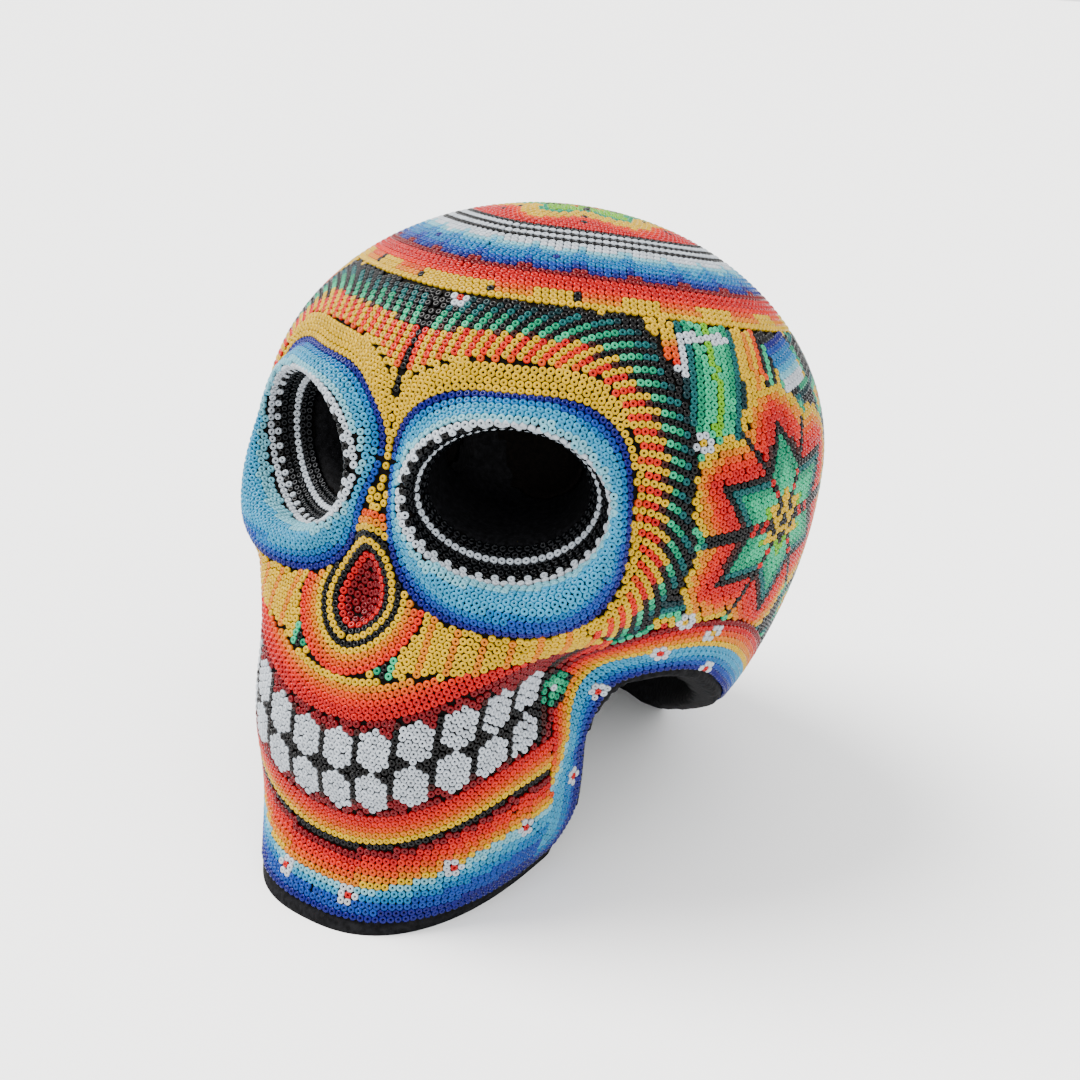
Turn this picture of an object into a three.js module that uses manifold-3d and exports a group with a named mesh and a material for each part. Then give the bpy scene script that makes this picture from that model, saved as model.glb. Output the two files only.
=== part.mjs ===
// A skull in the Huichol bead style: a hollow cast blank, a bed of beeswax over it, and fields
// of glass seed beads pressed into the wax. Each field of beads is one thin solid of its true
// thickness. Millimetres, +Z up. The face looks along -Y and the figure's left is +X.
import * as THREE from "three";
import { mergeVertices } from "three/addons/utils/BufferGeometryUtils.js";
import Module from "manifold-3d";

const wasm = await Module();
wasm.setup();

// ---------------------------------------------------------------- driving dimensions
const HEIGHT = 177; // floor to crown, over the beads
const BEAD = 1.7; // thickness of the bead layer, a little under a bead's diameter
const WAX = 1.0; // thickness of the wax bed
const GAP = 0.3; // clearance between neighbouring solids
const WALL = 8; // thickness of the blank's wall
const RIM_HEIGHT = 4; // bare black edge of the blank, below the lowest row of beads

const HEART = new THREE.Vector3(0, -9, 85); // inside the skull, in sight of all of its surface
const WIDEST = 111; // height where the braincase is widest
const HALF_WIDTH = 83; // of the braincase
const BRAIN_Y = 12; // its middle, measured along Y
const BRAIN_REACH = 79.5; // from that middle to the forehead, and to the back
const JAW_MIDDLE_Y = -35; // where the face and jaw are widest
const FACET_STEPS = 6; // subdivisions of the icosahedron that is drawn out to the skull's surface

const EYE = new THREE.Vector3(33.5, -53, 117); // middle of the left socket's mouth
const EYE_OUT = new THREE.Vector3(0.5, -0.86, 0.06).normalize(); // the way that socket looks
const EYE_UP = new THREE.Vector3(0, 0, 1).addScaledVector(EYE_OUT, -EYE_OUT.z).normalize();
const EYE_SIDE = new THREE.Vector3().crossVectors(EYE_UP, EYE_OUT);
const SOCKET_DEPTH = 42;
const LIP_DEPTH = 10; // how far the beads reach into a socket
const NOSE = { y: -76, z: 93, halfWidth: 8, depth: 9, halfHeight: 11 };

const CROWN_Y = 31; // middle of the rings on the crown
const CROWN_RINGS = [17, 30, 44, 56, 66]; // their outer radii
const TEMPLE = { y: 4.5, z: 108 }; // middle of the flower on each temple
const STAR_TIP = 27;
const STAR_NOTCH = 15;
const PETAL_TIP = 38;
const PETAL_NOTCH = 31;
const TEETH_PER_SIDE = 6;
const SMILE = 44; // half the width of the rows of teeth
const FAR = 150; // past every side of the skull, for the ends of cutters

// ---------------------------------------------------------------- the skull's surface as a formula
// A smooth curve through stations of height and value, held level past both ends.
function along(z, stations, flatEnd = false) {
  const last = stations.length - 1;
  const at = THREE.MathUtils.clamp(z, stations[0][0], stations[last][0]);
  let i = 0;
  while (i < last - 1 && at >= stations[i + 1][0]) i += 1;
  const slope = (k) => {
    if (k === last && flatEnd) return 0;
    const before = stations[Math.max(k - 1, 0)];
    const after = stations[Math.min(k + 1, last)];
    return (after[1] - before[1]) / (after[0] - before[0]);
  };
  const [start, startValue] = stations[i];
  const [end, endValue] = stations[i + 1];
  const step = end - start;
  const t = (at - start) / step;
  const ease = t * t * (3 - 2 * t);
  const leave = t * (1 - t) ** 2 * step * slope(i);
  const arrive = t * t * (t - 1) * step * slope(i + 1);
  return (1 - ease) * startValue + ease * endValue + leave + arrive;
}

// The lesser of two fields, rounded where they meet.
function smoothMin(a, b, blend) {
  const h = Math.max(blend - Math.abs(a - b), 0) / blend;
  return Math.min(a, b) - (h * h * blend) / 4;
}

// Every field below is negative inside its shape and grows outwards, in about a millimetre's scale.
function braincase(x, y, z) {
  const halfWidth = along(z, [[0, 38], [50, 69], [WIDEST, HALF_WIDTH]], true);
  const back = along(z, [[0, 81], [50, 95.5], [WIDEST, BRAIN_Y + BRAIN_REACH]], true);
  const front = along(z, [[0, 34], [40, 46], [80, 72], [WIDEST, BRAIN_REACH]], true);
  const lengthways = y > BRAIN_Y ? (y - BRAIN_Y) / (back - BRAIN_Y) : (BRAIN_Y - y) / front;
  const upwards = Math.max(z - WIDEST, 0) / (HEIGHT - WIDEST);
  return 70 * (Math.hypot(x / halfWidth, lengthways, upwards) - 1);
}

function face(x, y, z) {
  const profile = [[0, -95.5], [20, -86], [45, -88], [70, -82.5], [95, -67.5], [120, -59.5]];
  const halfWidth = along(z, [[0, 37], [20, 45], [45, 46], [70, 48], [95, 61], [120, 59]]);
  const reach = y < JAW_MIDDLE_Y ? JAW_MIDDLE_Y - along(z, profile) : 60;
  const squareness = 2.5;
  const across = Math.abs(x / halfWidth) ** squareness;
  const forwards = Math.abs((y - JAW_MIDDLE_Y) / reach) ** squareness;
  const upwards = Math.max(z - 100, 0) / 45;
  return 55 * (Math.hypot((across + forwards) ** (1 / squareness), upwards) - 1);
}

// Soft swellings of the face, each a middle, a reach along each axis and a height. A negative
// height makes a hollow.
const SWELLINGS = [
  { middle: [0, -64, 126], reach: [7, 12, 16], height: -4 }, // between the brows
  { middle: [0, -68, 106], reach: [6, 12, 9], height: 2 }, // bridge of the nose
  { middle: [50, -50, 90], reach: [14, 16, 8], height: 3 }, // cheekbone
  { middle: [50, -50, 66], reach: [13, 18, 11], height: -9 }, // hollow of the cheek
  { middle: [0, -90, 12], reach: [26, 14, 10], height: 1 }, // chin
];

function swelling(point, { middle, reach, height }) {
  const far = point.map((value, axis) => (value - middle[axis]) / reach[axis]);
  return height * Math.exp(-(far[0] ** 2 + far[1] ** 2 + far[2] ** 2));
}

function eyeRim(x, y, z) {
  const from = new THREE.Vector3(x, y, z).sub(EYE);
  const radius = Math.hypot(from.dot(EYE_SIDE) / 1.04, from.dot(EYE_UP) + 2);
  const near = Math.exp(-((from.dot(EYE_OUT) / 26) ** 2));
  const crest = 3.2 * Math.exp(-(((radius - 23) / 6) ** 2));
  const valley = 1.8 * Math.exp(-(((radius - 31) / 4) ** 2));
  return near * (crest - valley);
}

function head(signedX, y, z) {
  const x = Math.abs(signedX);
  const bare = smoothMin(braincase(x, y, z), face(x, y, z), 11);
  const swellings = SWELLINGS.reduce((sum, one) => sum + swelling([x, y, z], one), 0);
  return bare - eyeRim(x, y, z) - swellings;
}

// ---------------------------------------------------------------- solids
function solidOf(geometry) {
  const bare = geometry.index ? geometry.toNonIndexed() : geometry.clone();
  bare.deleteAttribute("normal");
  bare.deleteAttribute("uv");
  const merged = mergeVertices(bare, 1e-4);
  return new wasm.Manifold(
    new wasm.Mesh({
      numProp: 3,
      vertProperties: merged.attributes.position.array,
      triVerts: new Uint32Array(merged.index.array),
    }),
  );
}

function geometryOf(solid) {
  const mesh = solid.getMesh();
  const geometry = new THREE.BufferGeometry();
  geometry.setAttribute("position", new THREE.BufferAttribute(mesh.vertProperties, 3));
  geometry.setIndex(new THREE.BufferAttribute(mesh.triVerts, 1));
  geometry.computeVertexNormals();
  return geometry;
}

// The largest of a solid's separate bodies, without the slivers that a cut leaves beside it.
function largestBody(solid) {
  return solid.decompose().reduce((best, body) => (body.volume() > best.volume() ? body : best));
}

function surfacePoint(direction) {
  let inside = 0;
  let outside = 240;
  const point = new THREE.Vector3();
  for (let i = 0; i < 40; i += 1) {
    const radius = (inside + outside) / 2;
    point.copy(HEART).addScaledVector(direction, radius);
    const field = Math.max(head(point.x, point.y, point.z), -point.z - 12);
    if (field < 0) inside = radius;
    else outside = radius;
  }
  return point;
}

function surfaceNormal({ x, y, z }) {
  const reach = 0.5;
  return new THREE.Vector3(
    head(x + reach, y, z) - head(x - reach, y, z),
    head(x, y + reach, z) - head(x, y - reach, z),
    head(x, y, z + reach) - head(x, y, z - reach),
  ).normalize();
}

// The whole head, with its surface moved inwards by a depth. It reaches a little below the floor.
function headSolid(depth) {
  const geometry = mergeVertices(bareSphere());
  const position = geometry.attributes.position;
  const direction = new THREE.Vector3();
  for (let i = 0; i < position.count; i += 1) {
    direction.fromBufferAttribute(position, i).normalize();
    const point = surfacePoint(direction);
    point.addScaledVector(surfaceNormal(point), -depth);
    position.setXYZ(i, point.x, point.y, point.z);
  }
  return solidOf(geometry);
}

function bareSphere() {
  const geometry = new THREE.IcosahedronGeometry(1, FACET_STEPS);
  geometry.deleteAttribute("normal");
  geometry.deleteAttribute("uv");
  return geometry;
}

function box([x0, y0, z0], [x1, y1, z1]) {
  const geometry = new THREE.BoxGeometry(x1 - x0, y1 - y0, z1 - z0);
  return solidOf(geometry.translate((x0 + x1) / 2, (y0 + y1) / 2, (z0 + z1) / 2));
}

// A shape carried upwards by a depth, with its curves cut into a few straight steps.
function extrude(shape, depth) {
  const curveSegments = 5;
  return new THREE.ExtrudeGeometry(shape, { depth, curveSegments, bevelEnabled: false });
}

// A shape drawn in X and Z, carried along Y.
function frontPrism(shape, yStart = -FAR, yEnd = -20) {
  const geometry = extrude(shape, yEnd - yStart);
  return solidOf(geometry.rotateX(Math.PI / 2).translate(0, yEnd, 0));
}

// A shape drawn in Y and Z, carried along X.
function sidePrism(shape, xStart, xEnd) {
  const geometry = extrude(shape, xEnd - xStart);
  const turn = new THREE.Matrix4().makeBasis(
    new THREE.Vector3(0, 1, 0),
    new THREE.Vector3(0, 0, 1),
    new THREE.Vector3(1, 0, 0),
  );
  return solidOf(geometry.applyMatrix4(turn).translate(xStart, 0, 0));
}

// An upright cylinder through the crown, from the middle of the skull's height upwards.
function crownDisc(radius) {
  const geometry = new THREE.CylinderGeometry(radius, radius, HEIGHT, 24).rotateX(Math.PI / 2);
  return solidOf(geometry.translate(0, CROWN_Y, HEIGHT * 1.18));
}

// ---------------------------------------------------------------- cutters
// A socket is a funnel whose beaded lip leads to a deeper cup, turned about its own axis and a
// third wider than it is high.
function socketCutter(side, grow) {
  const floor = -SOCKET_DEPTH - grow;
  const mouth = 12;
  const stations = [
    [floor, 5],
    [6 - SOCKET_DEPTH, 11],
    [-LIP_DEPTH, 14],
    [2, 20],
    [mouth, 23.5],
  ];
  const wall = stations.map(([height, radius]) => new THREE.Vector2(radius + grow, height));
  const profile = [new THREE.Vector2(0, floor), ...wall, new THREE.Vector2(0, mouth)];
  const geometry = new THREE.LatheGeometry(profile, 16);
  const wide = EYE_SIDE.clone().multiplyScalar(1.33);
  geometry.applyMatrix4(new THREE.Matrix4().makeBasis(wide, EYE_OUT, EYE_UP.clone().negate()));
  geometry.translate(EYE.x - 0.7, EYE.y - 0.4, EYE.z + 1.5);
  return side > 0 ? solidOf(geometry) : solidOf(geometry).mirror([1, 0, 0]);
}

function noseCutter(grow) {
  const geometry = new THREE.SphereGeometry(1, 10, 8);
  geometry.scale(NOSE.halfWidth + grow, NOSE.depth + grow, NOSE.halfHeight + grow);
  return solidOf(geometry.translate(0, NOSE.y, NOSE.z));
}

// Side outline of the open arch between the jaw and the back of the skull.
function archShape(grow) {
  const shape = new THREE.Shape();
  shape.moveTo(-27 - grow, -30);
  shape.lineTo(-26.5 - grow, 46);
  shape.quadraticCurveTo(-25 - grow, 61 + grow, -14, 61.5 + grow);
  shape.quadraticCurveTo(-6, 61 + grow, 2, 53 + grow);
  shape.lineTo(66 + grow, grow);
  shape.lineTo(80, -30);
  return shape;
}

// The part of the skull on one side of the middle plane, between two corners given as Y and Z.
function sideBox(side, inner, [y0, z0], [y1, z1], grow) {
  const ends = [side * (inner - grow), side * FAR];
  const low = [Math.min(...ends), y0 - grow, z0 - grow];
  return box(low, [Math.max(...ends), y1 + grow, z1 + grow]);
}

const belowFloor = box([-FAR, -FAR, -FAR], [FAR, FAR, 0]);
const belowBeads = box([-FAR, -FAR, -FAR], [FAR, FAR, RIM_HEIGHT]);
const archHole = (grow) => sidePrism(archShape(grow), -FAR, FAR);

// ---------------------------------------------------------------- the assembly
const skull = new THREE.Group();

function addPart(name, solid, color, roughness) {
  const material = new THREE.MeshStandardMaterial({ color, roughness });
  const mesh = new THREE.Mesh(geometryOf(largestBody(solid)), material);
  mesh.name = name;
  skull.add(mesh);
}

// Both sockets and the hollow of the nose.
function openings(grow) {
  return socketCutter(1, grow).add(socketCutter(-1, grow)).add(noseCutter(grow));
}

function nameOf(side) {
  return side > 0 ? "left" : "right";
}

// The cast blank: an open-based shell with closed socket cups.
function addBlank() {
  const clear = BEAD + WAX + 2 * GAP;
  const cavity = headSolid(clear + WALL).subtract(openings(clear + WALL - 2));
  const blank = headSolid(clear)
    .subtract(openings(clear))
    .subtract(cavity)
    .subtract(archHole(0))
    .subtract(belowFloor);
  addPart("skull_blank", blank, 0x1a191b, 0.85);
}

// The layer of wax that holds the beads.
function addWaxBed() {
  const wax = headSolid(BEAD + GAP)
    .subtract(headSolid(BEAD + GAP + WAX))
    .subtract(openings(BEAD + GAP))
    .subtract(archHole(2))
    .subtract(belowBeads);
  addPart("wax_bed", wax, 0x2a2420, 0.7);
}

// ---------------------------------------------------------------- fields of beads
// What is left of the bead layer. Each field takes its share and leaves a gap round it.
let layer = headSolid(0)
  .subtract(headSolid(BEAD))
  .subtract(openings(BEAD + GAP))
  .subtract(archHole(3))
  .subtract(belowBeads);

function takeField(name, cutterOf, color) {
  addPart(name, layer.intersect(cutterOf(0)), color, 0.3);
  layer = layer.subtract(cutterOf(GAP));
}

function ellipse(x, z, halfWidth, halfHeight) {
  return new THREE.Shape().absellipse(x, z, halfWidth, halfHeight, 0, 2 * Math.PI);
}

// A star or a flower: points on two circles in turn, one pair for each sixth of a turn. Its
// slanting sides need twice the growth at the points.
function starShape(tip, notch, grow) {
  const shape = new THREE.Shape();
  for (let i = 0; i < 12; i += 1) {
    const angle = Math.PI / 2 + (i * Math.PI) / 6;
    const radius = (i % 2 === 0 ? tip : notch) + 2 * grow;
    const y = TEMPLE.y + radius * Math.cos(angle);
    const z = TEMPLE.z + radius * Math.sin(angle);
    if (i === 0) shape.moveTo(y, z);
    else shape.lineTo(y, z);
  }
  return shape;
}

function sideCutter(side, shape) {
  return side > 0 ? sidePrism(shape, 30, FAR) : sidePrism(shape, -FAR, -30);
}

// The beads that line the sockets' funnels and the hollow of the nose.
function addLinings() {
  const outside = headSolid(0);
  const behind = new THREE.BoxGeometry(FAR, FAR, FAR).translate(0, 0, -FAR / 2 - LIP_DEPTH);
  behind.applyMatrix4(new THREE.Matrix4().makeBasis(EYE_SIDE, EYE_UP, EYE_OUT));
  const deep = solidOf(behind.translate(EYE.x, EYE.y, EYE.z));
  for (const side of [1, -1]) {
    const funnel = socketCutter(side, BEAD).subtract(socketCutter(side, 0));
    const lip = funnel.subtract(side > 0 ? deep : deep.mirror([1, 0, 0]));
    addPart(`${nameOf(side)}_socket_lip`, lip.intersect(outside), 0xd8dde4, 0.3);
  }
  const bowl = noseCutter(BEAD).subtract(noseCutter(0)).intersect(outside);
  addPart("nose_hollow", bowl, 0x8a1420, 0.3);
}

// Rings round the crown, from the flower in the middle outwards.
function addCrown() {
  const rings = [
    ["crown_flower", 0xb7e07a],
    ["crown_flower_border", 0xd8262c],
    ["crown_white_rings", 0xe8eef5],
    ["crown_blue_band", 0x3f7fd0],
    ["crown_red_band", 0xe03a1e],
  ];
  rings.forEach(([name, color], i) => {
    takeField(name, (grow) => crownDisc(CROWN_RINGS[i] + grow), color);
  });
}

function addEyeRings() {
  for (const side of [1, -1]) {
    const disc = (radius) => frontPrism(ellipse(EYE.x * side, EYE.z - 2, radius, radius));
    takeField(`${nameOf(side)}_eye_ring`, (grow) => disc(30 + grow), 0x3b7cc4);
  }
}

// Height of a line of the mouth: the whole mouth curves up towards its ends.
function smileLine(x, height) {
  return height + 0.0092 * x * x;
}

// A band of the lower face between two lines of the mouth.
function smileBand(halfWidth, bottom, top, grow) {
  const shape = new THREE.Shape();
  const end = halfWidth + grow;
  const steps = 8;
  for (let i = 0; i <= steps; i += 1) {
    const x = -end + (2 * end * i) / steps;
    if (i === 0) shape.moveTo(x, smileLine(x, bottom - grow));
    else shape.lineTo(x, smileLine(x, bottom - grow));
  }
  for (let i = steps; i >= 0; i -= 1) {
    const x = -end + (2 * end * i) / steps;
    shape.lineTo(x, smileLine(x, top + grow));
  }
  return frontPrism(shape, -FAR, -28);
}

// Teeth: six to a side in each row, each an upright hexagon, with black beads between them.
function toothShape(x0, x1, bottom, top, grow) {
  const middle = (x0 + x1) / 2;
  const corner = 2.2;
  const shape = new THREE.Shape();
  shape.moveTo(x0 - grow, smileLine(x0, bottom) + corner);
  shape.lineTo(middle, smileLine(middle, bottom) - grow);
  shape.lineTo(x1 + grow, smileLine(x1, bottom) + corner);
  shape.lineTo(x1 + grow, smileLine(x1, top) - corner);
  shape.lineTo(middle, smileLine(middle, top) + grow);
  shape.lineTo(x0 - grow, smileLine(x0, top) - corner);
  return shape;
}

function addTeeth() {
  const turn = 1.35; // how far round the jaw, in radians, the last tooth ends
  const edge = (k) => SMILE * Math.sin((k / TEETH_PER_SIDE) * turn);
  const rows = [["upper_tooth", 47.5, 58.5], ["lower_tooth", 33.5, 46.5]];
  const line = 0.6; // half the width of the black line between two teeth
  for (const [row, bottom, top] of rows) {
    for (let k = 0; k < TEETH_PER_SIDE; k += 1) {
      for (const side of [1, -1]) {
        const ends = [side * edge(k), side * edge(k + 1)].sort((a, b) => a - b);
        const shape = (grow) => toothShape(ends[0] + line, ends[1] - line, bottom, top, grow);
        takeField(`${row}_${nameOf(side)}_${k + 1}`, (grow) => frontPrism(shape(grow)), 0xeef1f4);
      }
    }
  }
  takeField("tooth_outlines", (grow) => smileBand(SMILE + 1, 32, 60, grow), 0x141414);
}

function addNoseAndMouth() {
  takeField("nose_border", (grow) => frontPrism(ellipse(0, 88, 19 + grow, 17.5 + grow)), 0xe8b11a);
  addTeeth();
  takeField("upper_lip", (grow) => smileBand(SMILE + 4, 60, 70, grow), 0xd7301f);
  takeField("lower_lip", (grow) => smileBand(SMILE + 4, 19, 32, grow), 0xd9451c);
  takeField("chin_band", (grow) => smileBand(SMILE + 7, 9, 19, grow), 0xe6a01a);
  takeField("jaw_blue_border", (grow) => smileBand(SMILE + 12, -30, 9, grow), 0x3c86cf);
}

// Flowers on the temples, the stripes over the eyes, and the borders along the lower edge.
function addSides() {
  for (const side of [1, -1]) {
    const name = nameOf(side);
    const star = (grow) => sideCutter(side, starShape(STAR_TIP, STAR_NOTCH, grow));
    const petals = (grow) => sideCutter(side, starShape(PETAL_TIP, PETAL_NOTCH, grow));
    const border = (grow) => sideCutter(side, archShape(17 + grow));
    const brow = (grow) => sideBox(side, GAP / 2, [-FAR, 55], [-27, FAR + HEIGHT], grow);
    const temple = (grow) => sideBox(side, 20, [-60, 118], [45, FAR + HEIGHT], grow);
    takeField(`${name}_temple_star`, star, 0x2fb58f);
    takeField(`${name}_temple_petals`, petals, 0xdc2a22);
    takeField(`${name}_arch_border`, border, 0x3a7fcb);
    takeField(`${name}_brow_stripes`, brow, 0xe2a416);
    takeField(`${name}_temple_steps`, temple, 0x2a9a78);
  }
}

// The back of the head: a flower in the middle over a border, and a plain field to each side.
function addBack() {
  const height = 105;
  const disc = (radius) => frontPrism(ellipse(0, height, radius, radius), 40, FAR);
  takeField("back_flower", (grow) => disc(20 + grow), 0x2fb58f);
  takeField("back_flower_petals", (grow) => disc(34 + grow), 0xdc2a22);
  takeField("back_blue_border", (grow) => box([-FAR, 0, -FAR], [FAR, FAR, 24 + grow]), 0x3c86cf);
  for (const side of [1, -1]) {
    const half = (grow) => sideBox(side, GAP / 2, [-FAR, -FAR], [FAR, FAR + HEIGHT], grow);
    takeField(`${nameOf(side)}_back_field`, half, 0x23406e);
  }
}

addBlank();
addWaxBed();
addLinings();
addCrown();
addEyeRings();
addNoseAndMouth();
addSides();
addBack();

// The origin is on the floor under the middle of the whole skull.
const whole = new THREE.Box3().setFromObject(skull);
skull.position.y = -(whole.min.y + whole.max.y) / 2;

export default skull;
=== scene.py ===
import math
from itertools import product

import bmesh
import bpy
import numpy as np
from mathutils import Matrix, Vector


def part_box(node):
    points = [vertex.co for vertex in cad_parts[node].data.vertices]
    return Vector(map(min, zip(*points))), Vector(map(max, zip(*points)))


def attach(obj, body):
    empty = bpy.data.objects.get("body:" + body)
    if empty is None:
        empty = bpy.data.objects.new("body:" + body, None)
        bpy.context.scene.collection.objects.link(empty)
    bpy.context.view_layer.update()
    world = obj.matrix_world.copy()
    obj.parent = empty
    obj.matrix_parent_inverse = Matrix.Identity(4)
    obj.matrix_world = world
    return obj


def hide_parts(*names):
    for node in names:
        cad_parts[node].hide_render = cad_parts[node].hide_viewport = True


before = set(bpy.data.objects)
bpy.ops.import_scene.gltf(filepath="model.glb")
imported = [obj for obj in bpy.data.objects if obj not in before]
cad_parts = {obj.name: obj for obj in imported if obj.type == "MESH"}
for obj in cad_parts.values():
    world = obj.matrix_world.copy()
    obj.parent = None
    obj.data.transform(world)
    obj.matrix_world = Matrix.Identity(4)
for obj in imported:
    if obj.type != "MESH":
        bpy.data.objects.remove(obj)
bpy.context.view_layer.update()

# ---- driving sizes, in millimetres
MM = 0.001
PITCH = 2.07  # from bead to bead along a row
ROW = 1.80  # from row to row
BEAD_RADIUS = 1.04
CREST_RADIUS = 0.55  # where a bead is thickest
HOLE_RADIUS = 0.27
BEAD_HALF_HEIGHT = 0.66
SINK = 0.62  # from the tops of the beads down to their middles
SPACING = 0.80  # the least distance between two beads, in pitches
WAX_DEPTH = 0.95  # from the tops of the beads down to the wax
WAX_THICKNESS = 0.9
BLANK_DEPTH = 1.9  # from the tops of the beads down to the blank
WALL = 9.0
RIM_HEIGHT = 4.0  # bare edge of the blank, below the lowest row
ARCH_EDGE = 3.0  # bare edge of the blank round the arch

HEIGHT = 177.0
WIDEST = 111.0  # the height at which the braincase is widest
HALF_WIDTH = 83.0
BRAIN_Y = 12.0
BRAIN_REACH = 79.5  # half the braincase's length
JAW_MIDDLE_Y = -35.0
CROWN_Y = 31.0  # middle of the round design on the crown
FACE_Y = -20.0  # the mouth, the eyes and the jaw are in front of this

EYE = np.array([33.5, -53.0, 117.0])
EYE_OUT = np.array([0.50, -0.86, 0.06])
EYE_OUT /= np.linalg.norm(EYE_OUT)
EYE_UP = np.array([0.0, 0.0, 1.0]) - EYE_OUT[2] * EYE_OUT
EYE_UP /= np.linalg.norm(EYE_UP)
EYE_SIDE = np.cross(EYE_UP, EYE_OUT)
LIP_WIDTH = 22.3  # half the width of the beaded lip of a socket, seen along the socket
LIP_HEIGHT = 16.9
LIP_DEPTH = 8.0  # how far the wax reaches into a socket
SOCKET_ROWS = 5.2  # rows on the lip of a socket, inside the blue ring
PIT_DEPTH = 6.0  # skin this far inside the head belongs to a pit
RING_HALF_WIDTH = 31.3
RING_HALF_HEIGHT = 29.2

TEMPLE = np.array([83.0, 4.5, 108.0])
STAR_TIP = 28.0
STAR_NOTCH = 16.0
BACK_STAR_RISE = 4.0  # the star behind is this much higher than the ones on the temples
BACK_BORDER = 31.0  # inner radius of the rings round the star behind
RNG = np.random.default_rng(11)
UNREACHED = 1e4  # the distance given to places that no measure reaches
MOST_ROUNDS = 600  # of passing distances on from corner to corner
TINY = 1e-9  # keeps a division from dividing by zero

# The formula's places become the frame's by a shift, read from a node that both have.
FLOWER_LOW, FLOWER_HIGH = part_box("crown_flower")
SHIFT = np.array([0.0, (FLOWER_LOW.y + FLOWER_HIGH.y) / 2 / MM - CROWN_Y, 0.0])


def to_frame(points):
    """Points of the formula, in millimetres, as points of the frame, in metres."""
    return (points + SHIFT) * MM


# ---- the skull's surface as a formula
def along(z, heights, values, flat_end=False):
    """A smooth curve through values at heights, held level past both ends."""
    heights, values = np.array([heights, values], float)
    steps = np.diff(heights)
    chords = np.diff(values) / steps
    slopes = np.empty(len(values))
    slopes[0] = chords[0]
    slopes[-1] = 0.0 if flat_end else chords[-1]
    slopes[1:-1] = (values[2:] - values[:-2]) / (heights[2:] - heights[:-2])
    at = np.clip(z, heights[0], heights[-1])
    i = np.clip(np.searchsorted(heights, at, side="right") - 1, 0, len(steps) - 1)
    step = steps[i]
    t = (at - heights[i]) / step
    ease = t * t * (3 - 2 * t)
    leave = t * (1 - t) ** 2 * step * slopes[i]
    arrive = t * t * (t - 1) * step * slopes[i + 1]
    return (1 - ease) * values[i] + ease * values[i + 1] + leave + arrive


def smooth_min(a, b, blend):
    h = np.maximum(blend - np.abs(a - b), 0) / blend
    return np.minimum(a, b) - h * h * blend / 4


def smooth_max(a, b, blend):
    return -smooth_min(-a, -b, blend)


def smooth_step(t):
    t = np.clip(t, 0, 1)
    return t * t * (3 - 2 * t)


def braincase(x, y, z):
    half_width = along(z, [0, 50, WIDEST], [38, 69, HALF_WIDTH], True)
    back = along(z, [0, 50, WIDEST], [81, 95.5, BRAIN_Y + BRAIN_REACH], True)
    front = along(z, [0, 40, 80, WIDEST], [34, 46, 72, BRAIN_REACH], True)
    lengthways = np.where(y > BRAIN_Y, (y - BRAIN_Y) / (back - BRAIN_Y), (BRAIN_Y - y) / front)
    upwards = np.maximum(z - WIDEST, 0) / (HEIGHT - WIDEST)
    return 70 * (np.sqrt((x / half_width) ** 2 + lengthways**2 + upwards**2) - 1)


def face(x, y, z):
    heights = [0, 20, 45, 70, 95, 120]
    front = along(z, heights, [-95.5, -86, -88, -82.5, -67.5, -59.5])
    half_width = along(z, heights, [37, 45, 46, 48, 61, 59])
    ahead = (JAW_MIDDLE_Y - y) / (JAW_MIDDLE_Y - front)
    behind = (y - JAW_MIDDLE_Y) / 60
    forwards = np.where(y < JAW_MIDDLE_Y, ahead, behind)
    ring = np.abs(x / half_width) ** 2.5 + np.abs(forwards) ** 2.5
    upwards = np.maximum(z - 100, 0) / 45
    return 55 * (np.sqrt(ring ** (2 / 2.5) + upwards**2) - 1)


SWELLINGS = (
    ((0, -64, 126), (7, 12, 16), -4),  # between the brows
    ((0, -68, 106), (6, 12, 9), 2),  # bridge of the nose
    ((50, -50, 90), (14, 16, 8), 3),  # cheekbone
    ((50, -50, 66), (13, 18, 11), -9),  # hollow of the cheek
    ((0, -90, 12), (26, 14, 10), 1),  # chin
)


def eye_frame(x, y, z):
    """Places as seen along the socket: sideways, upwards and outwards from its middle."""
    away = (x - EYE[0], y - EYE[1], z - EYE[2])
    return [sum(part * axis[i] for i, part in enumerate(away)) for axis in (EYE_SIDE, EYE_UP, EYE_OUT)]


def head(x, y, z):
    """The braincase and the face with the eyes' crests, before the pits are cut in."""
    field = smooth_min(braincase(x, y, z), face(x, y, z), 11)
    side, up, out = eye_frame(x, y, z)
    radius = np.sqrt((side / 1.04) ** 2 + (up + 2) ** 2)
    crest = 3.2 * np.exp(-(((radius - 23) / 6) ** 2))
    valley = 1.8 * np.exp(-(((radius - 31) / 4) ** 2))
    field = field - (crest - valley) * np.exp(-((out / 26) ** 2))
    for (cx, cy, cz), (sx, sy, sz), height in SWELLINGS:
        away = ((x - cx) / sx) ** 2 + ((y - cy) / sy) ** 2 + ((z - cz) / sz) ** 2
        field = field - height * np.exp(-away)
    return field


def socket(x, y, z):
    side, up, out = eye_frame(x, y, z)
    mouth = smooth_step((out + 12) / 15)
    deep = np.clip((-out - 12) / 30, 0, 1.5)
    half_width = 19 + 6.5 * mouth - 4 * deep
    half_height = 13.8 + 6 * mouth - 2 * deep
    ring = np.sqrt(((side + 1) / half_width) ** 2 + ((up - 2.5 + 2.5 * mouth) / half_height) ** 2)
    return smooth_max((ring - 1) * half_height, -out - 42, 8)


def nose(x, y, z):
    half_width = along(z, [82, 88, 104, 112], [7.5, 8.5, 4, 1])
    return np.sqrt((x / half_width) ** 2 + ((y + 76) / 9) ** 2 + ((z - 93) / 11) ** 2) * 8 - 8


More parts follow.
